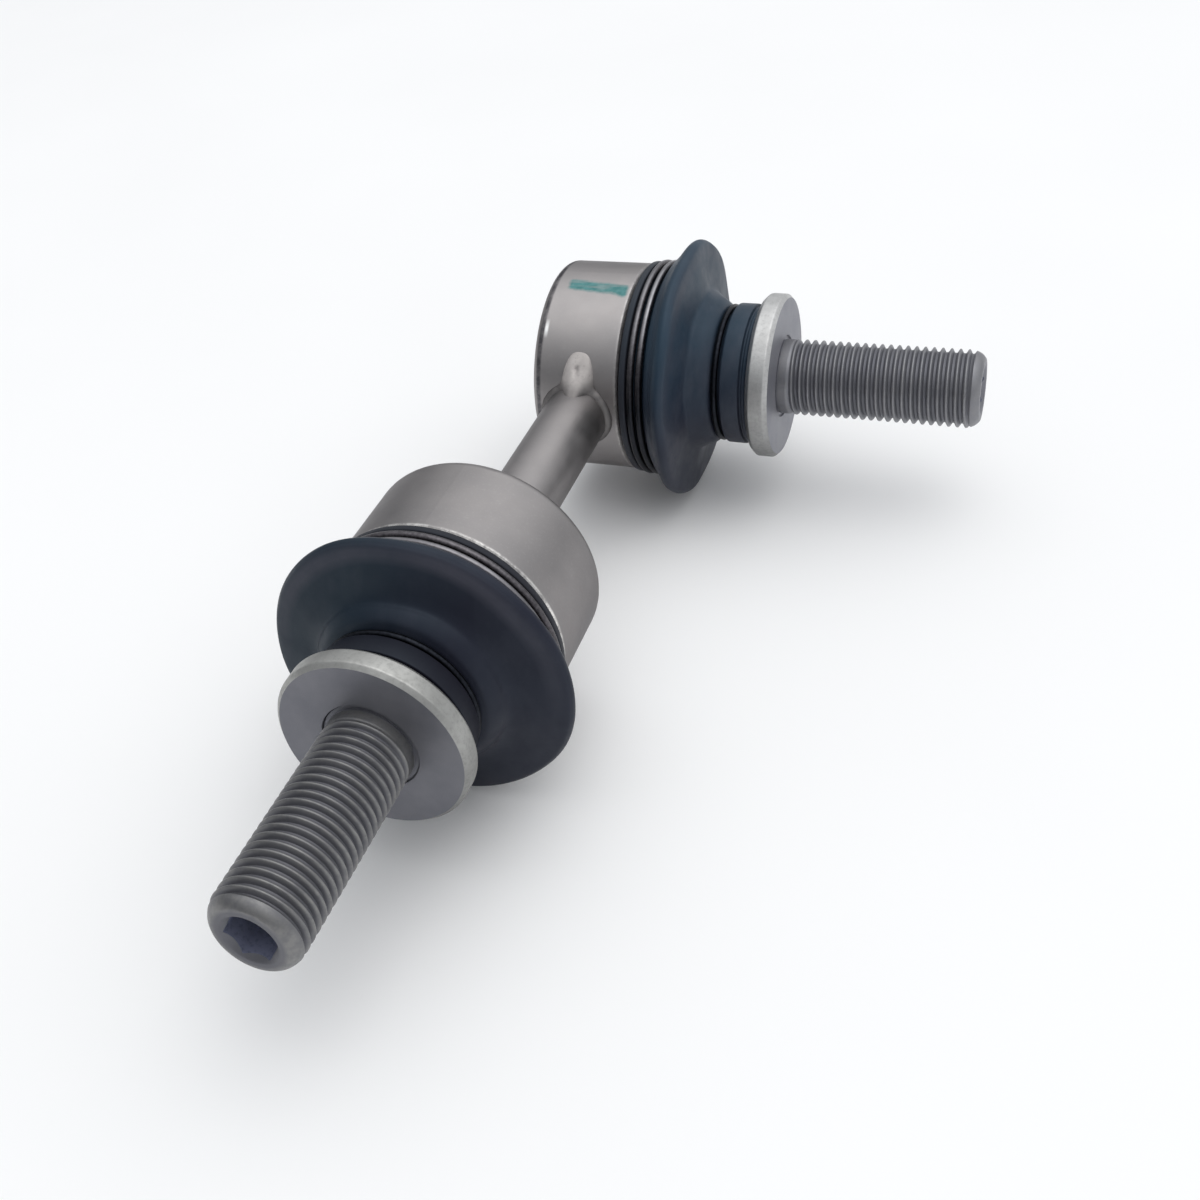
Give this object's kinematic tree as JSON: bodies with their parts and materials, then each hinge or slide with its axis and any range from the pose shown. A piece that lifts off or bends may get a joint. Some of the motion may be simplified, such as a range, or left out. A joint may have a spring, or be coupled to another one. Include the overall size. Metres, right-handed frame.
{
  "type": "stabilizer link",
  "caption": "Short stabilizer link: a steel rod welded between ball joints set at right angles, each with a flanged threaded stud and a rubber dust boot held by wire clips.",
  "frame": {"origin": "on the near stud's axis, at the seating face of its flange", "axes": "-Y along the near stud towards its tip, +Y along the rod towards the far joint, +X along the far stud towards its tip, +Z square to both studs"},
  "size_m": [0.0942, 0.1688, 0.0496],
  "materials": {
    "zinc_steel": "satin zinc plating",
    "stud_steel": "matte grey phosphate",
    "weld_bead": "plated weld",
    "clip_wire": "bright spring wire",
    "seat_plastic": "natural acetal",
    "boot_rubber": "smooth black rubber"
  },
  "bodies": {
    "link": {"link_rod": "zinc_steel", "near_housing": "zinc_steel", "far_housing": "zinc_steel", "near_rod_weld": "weld_bead", "far_rod_weld": "weld_bead", "near_ball_seat": "seat_plastic", "far_ball_seat": "seat_plastic", "near_retaining_ring": "zinc_steel", "far_closing_plate": "zinc_steel", "near_housing_clip": "clip_wire", "far_housing_clip": "clip_wire"},
    "near_boot": {"near_dust_boot": "boot_rubber"},
    "near_neck": {"near_neck_clip": "clip_wire"},
    "near_stud": {"near_ball_stud": "stud_steel"},
    "far_boot": {"far_dust_boot": "boot_rubber"},
    "far_neck": {"far_neck_clip": "clip_wire"},
    "far_stud": {"far_ball_stud": "stud_steel"}
  },
  "joints": [
    {"name": "near_swing_direction", "type": "hinge", "parent": "link", "child": "near_boot", "pos_m": [0, 0.029, 0], "axis": [0, -1, 0], "continuous": true},
    {"name": "near_tilt", "type": "hinge", "parent": "near_boot", "child": "near_neck", "pos_m": [0, 0.029, 0], "axis": [0, 0, 1], "range_deg": [-22, 22], "deforming": ["near_dust_boot"]},
    {"name": "near_spin", "type": "hinge", "parent": "near_neck", "child": "near_stud", "pos_m": [0, 0.029, 0], "axis": [0, -1, 0], "continuous": true},
    {"name": "far_swing_direction", "type": "hinge", "parent": "link", "child": "far_boot", "pos_m": [0.0054, 0.109, 0], "axis": [1, 0, 0], "continuous": true},
    {"name": "far_tilt", "type": "hinge", "parent": "far_boot", "child": "far_neck", "pos_m": [0.0054, 0.109, 0], "axis": [0, 0, 1], "range_deg": [-22, 22], "deforming": ["far_dust_boot"]},
    {"name": "far_spin", "type": "hinge", "parent": "far_neck", "child": "far_stud", "pos_m": [0.0054, 0.109, 0], "axis": [1, 0, 0], "continuous": true}
  ]
}
